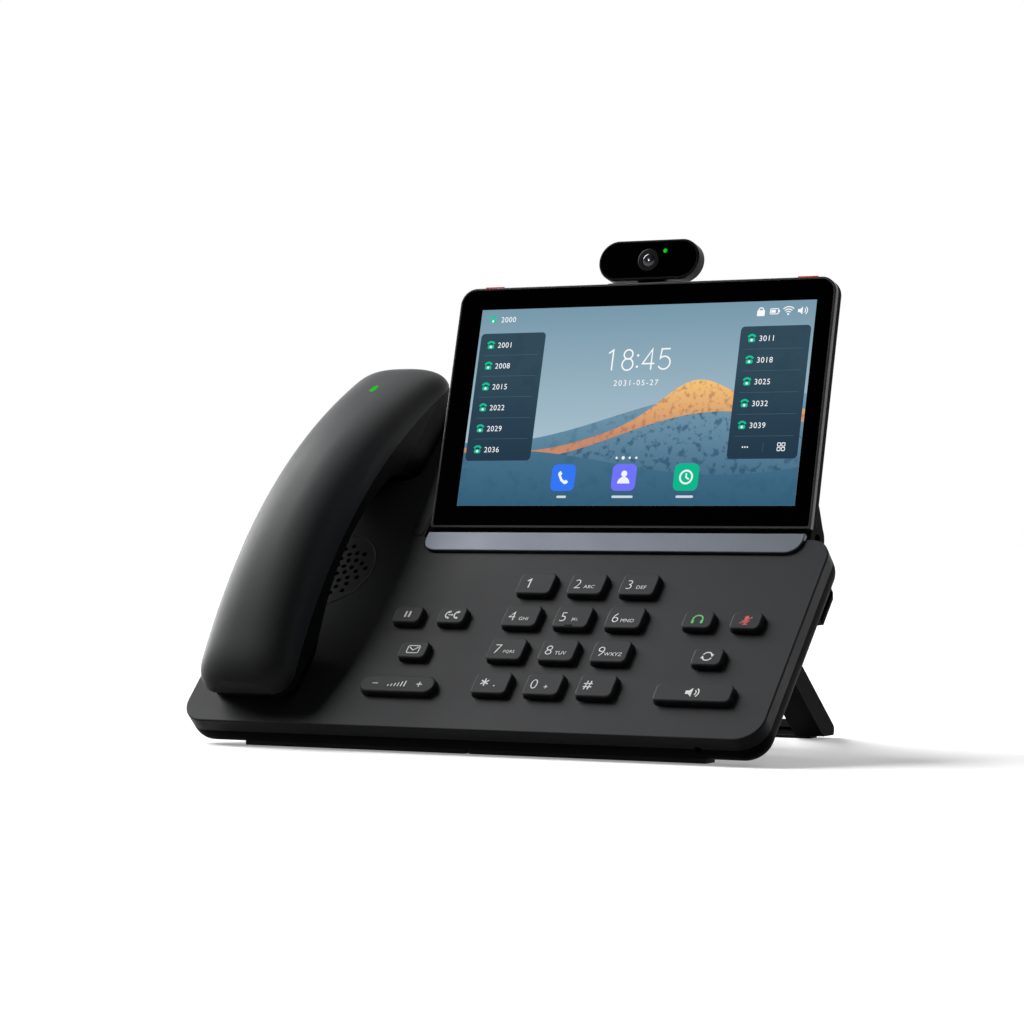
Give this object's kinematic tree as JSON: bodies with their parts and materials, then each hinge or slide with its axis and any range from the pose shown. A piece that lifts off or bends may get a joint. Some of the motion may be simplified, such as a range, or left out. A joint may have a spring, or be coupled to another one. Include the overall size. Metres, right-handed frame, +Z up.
{
  "type": "desk ip phone",
  "caption": "Sloping desk phone with a cordless handset in a cradle, dial and function keys, a hinged touch display, a tilting camera on top and a rear stand.",
  "frame": {"origin": "bottom centre of the overall bounding box, on the desk", "axes": "+X to the user's right, +Y away from the user, +Z up"},
  "size_m": [0.2608, 0.1682, 0.208],
  "materials": {
    "casing": "fine-grained matt black moulding",
    "lower_casing": "matt black moulding",
    "trim": "satin black",
    "strip_metal": "satin, blue-grey anodised",
    "driver": "black paper and plastic",
    "board": "green solder mask",
    "dome_sheet": "translucent silicone",
    "jack": "black connector body",
    "socket_steel": "tinned steel",
    "rubber": "black rubber",
    "steel": "zinc-plated",
    "bracket": "black",
    "contact": "gold-plated",
    "bezel": "satin black",
    "cover_glass": "polished cover glass",
    "panel": "lit screen",
    "red_lens": "red light bar",
    "camera_shell": "matt black moulding",
    "camera_face": "gloss black window",
    "lens_glass": "coated lens",
    "green_lens": "green light",
    "handset_shell": "satin black moulding",
    "handset_inside": "matt black moulding",
    "battery": "shrink-wrapped cell",
    "key_plastic": "satin black key caps"
  },
  "bodies": {
    "base": {"base_top_cover": "casing", "base_bottom_cover": "lower_casing", "column_trim": "trim", "hinge_strip": "strip_metal", "speaker_grille": "casing", "loudspeaker": "driver", "main_board": "board", "keypad_board": "board", "keypad_dome_sheet": "dome_sheet", "modular_jacks": "jack", "usb_socket": "socket_steel", "power_jack": "jack", "stand": "lower_casing", "stand_foot_pads": "rubber", "front_feet": "rubber", "case_screws": "steel", "hinge_brackets": "bracket", "hinge_pins": "steel", "charging_pins": "contact"},
    "display": {"display_bezel": "bezel", "display_rear_cover": "lower_casing", "display_glass": "cover_glass", "lcd_panel": "panel", "display_board": "board", "indicator_lights": "red_lens", "camera_foot": "lower_casing"},
    "camera": {"camera_housing": "camera_shell", "camera_window": "camera_face", "camera_lens": "lens_glass", "camera_board": "board", "camera_light": "green_lens", "camera_pivot_pin": "steel"},
    "handset": {"handset_outer_shell": "handset_shell", "handset_inner_shell": "handset_inside", "handset_receiver": "driver", "handset_microphone": "driver", "handset_battery": "battery", "handset_board": "board", "handset_light": "green_lens", "handset_contacts": "contact"},
    "key_1": {"key_1": "key_plastic"},
    "key_2": {"key_2": "key_plastic"},
    "key_3": {"key_3": "key_plastic"},
    "key_4": {"key_4": "key_plastic"},
    "key_5": {"key_5": "key_plastic"},
    "key_6": {"key_6": "key_plastic"},
    "key_7": {"key_7": "key_plastic"},
    "key_8": {"key_8": "key_plastic"},
    "key_9": {"key_9": "key_plastic"},
    "key_star": {"key_star": "key_plastic"},
    "key_0": {"key_0": "key_plastic"},
    "key_hash": {"key_hash": "key_plastic"},
    "hold_key": {"hold_key": "key_plastic"},
    "transfer_key": {"transfer_key": "key_plastic"},
    "message_key": {"message_key": "key_plastic"},
    "headset_key": {"headset_key": "key_plastic"},
    "mute_key": {"mute_key": "key_plastic"},
    "redial_key": {"redial_key": "key_plastic"},
    "speaker_key": {"speaker_key": "key_plastic"},
    "volume_rocker": {"volume_rocker": "key_plastic"}
  },
  "joints": [
    {"name": "handset_lift", "type": "slide", "parent": "base", "child": "handset", "axis": [0, -0.7193, 0.6947], "range_m": [0, 0.12]},
    {"name": "display_tilt", "type": "hinge", "parent": "base", "child": "display", "pos_m": [0.0323, 0.0029, 0.08404], "axis": [1, 0, 0], "range_deg": [-28, 10]},
    {"name": "camera_tilt", "type": "hinge", "parent": "display", "child": "camera", "pos_m": [0.0323, 0.03167, 0.19218], "axis": [1, 0, 0], "range_deg": [-15, 3]},
    {"name": "key_1_press", "type": "slide", "parent": "base", "child": "key_1", "axis": [0, 0.7193, -0.6947], "range_m": [0, 0.001], "stiffness_N_per_m": 600, "springref_m": -0.0004},
    {"name": "key_2_press", "type": "slide", "parent": "base", "child": "key_2", "axis": [0, 0.7193, -0.6947], "range_m": [0, 0.001], "stiffness_N_per_m": 600, "springref_m": -0.0004},
    {"name": "key_3_press", "type": "slide", "parent": "base", "child": "key_3", "axis": [0, 0.7193, -0.6947], "range_m": [0, 0.001], "stiffness_N_per_m": 600, "springref_m": -0.0004},
    {"name": "key_4_press", "type": "slide", "parent": "base", "child": "key_4", "axis": [0, 0.7193, -0.6947], "range_m": [0, 0.001], "stiffness_N_per_m": 600, "springref_m": -0.0004},
    {"name": "key_5_press", "type": "slide", "parent": "base", "child": "key_5", "axis": [0, 0.7193, -0.6947], "range_m": [0, 0.001], "stiffness_N_per_m": 600, "springref_m": -0.0004},
    {"name": "key_6_press", "type": "slide", "parent": "base", "child": "key_6", "axis": [0, 0.7193, -0.6947], "range_m": [0, 0.001], "stiffness_N_per_m": 600, "springref_m": -0.0004},
    {"name": "key_7_press", "type": "slide", "parent": "base", "child": "key_7", "axis": [0, 0.7193, -0.6947], "range_m": [0, 0.001], "stiffness_N_per_m": 600, "springref_m": -0.0004},
    {"name": "key_8_press", "type": "slide", "parent": "base", "child": "key_8", "axis": [0, 0.7193, -0.6947], "range_m": [0, 0.001], "stiffness_N_per_m": 600, "springref_m": -0.0004},
    {"name": "key_9_press", "type": "slide", "parent": "base", "child": "key_9", "axis": [0, 0.7193, -0.6947], "range_m": [0, 0.001], "stiffness_N_per_m": 600, "springref_m": -0.0004},
    {"name": "key_star_press", "type": "slide", "parent": "base", "child": "key_star", "axis": [0, 0.7193, -0.6947], "range_m": [0, 0.001], "stiffness_N_per_m": 600, "springref_m": -0.0004},
    {"name": "key_0_press", "type": "slide", "parent": "base", "child": "key_0", "axis": [0, 0.7193, -0.6947], "range_m": [0, 0.001], "stiffness_N_per_m": 600, "springref_m": -0.0004},
    {"name": "key_hash_press", "type": "slide", "parent": "base", "child": "key_hash", "axis": [0, 0.7193, -0.6947], "range_m": [0, 0.001], "stiffness_N_per_m": 600, "springref_m": -0.0004},
    {"name": "hold_press", "type": "slide", "parent": "base", "child": "hold_key", "axis": [0, 0.7193, -0.6947], "range_m": [0, 0.001], "stiffness_N_per_m": 600, "springref_m": -0.0004},
    {"name": "transfer_press", "type": "slide", "parent": "base", "child": "transfer_key", "axis": [0, 0.7193, -0.6947], "range_m": [0, 0.001], "stiffness_N_per_m": 600, "springref_m": -0.0004},
    {"name": "message_press", "type": "slide", "parent": "base", "child": "message_key", "axis": [0, 0.7193, -0.6947], "range_m": [0, 0.001], "stiffness_N_per_m": 600, "springref_m": -0.0004},
    {"name": "headset_press", "type": "slide", "parent": "base", "child": "headset_key", "axis": [0, 0.7193, -0.6947], "range_m": [0, 0.001], "stiffness_N_per_m": 600, "springref_m": -0.0004},
    {"name": "mute_press", "type": "slide", "parent": "base", "child": "mute_key", "axis": [0, 0.7193, -0.6947], "range_m": [0, 0.001], "stiffness_N_per_m": 600, "springref_m": -0.0004},
    {"name": "redial_press", "type": "slide", "parent": "base", "child": "redial_key", "axis": [0, 0.7193, -0.6947], "range_m": [0, 0.001], "stiffness_N_per_m": 600, "springref_m": -0.0004},
    {"name": "speaker_press", "type": "slide", "parent": "base", "child": "speaker_key", "axis": [0, 0.7193, -0.6947], "range_m": [0, 0.001], "stiffness_N_per_m": 600, "springref_m": -0.0004},
    {"name": "volume_rock", "type": "hinge", "parent": "base", "child": "volume_rocker", "pos_m": [-0.0331, -0.06379, 0.02319], "axis": [0, 0.6947, 0.7193], "range_deg": [-1.5, 1.5], "stiffness_Nm_per_rad": 0.3}
  ]
}
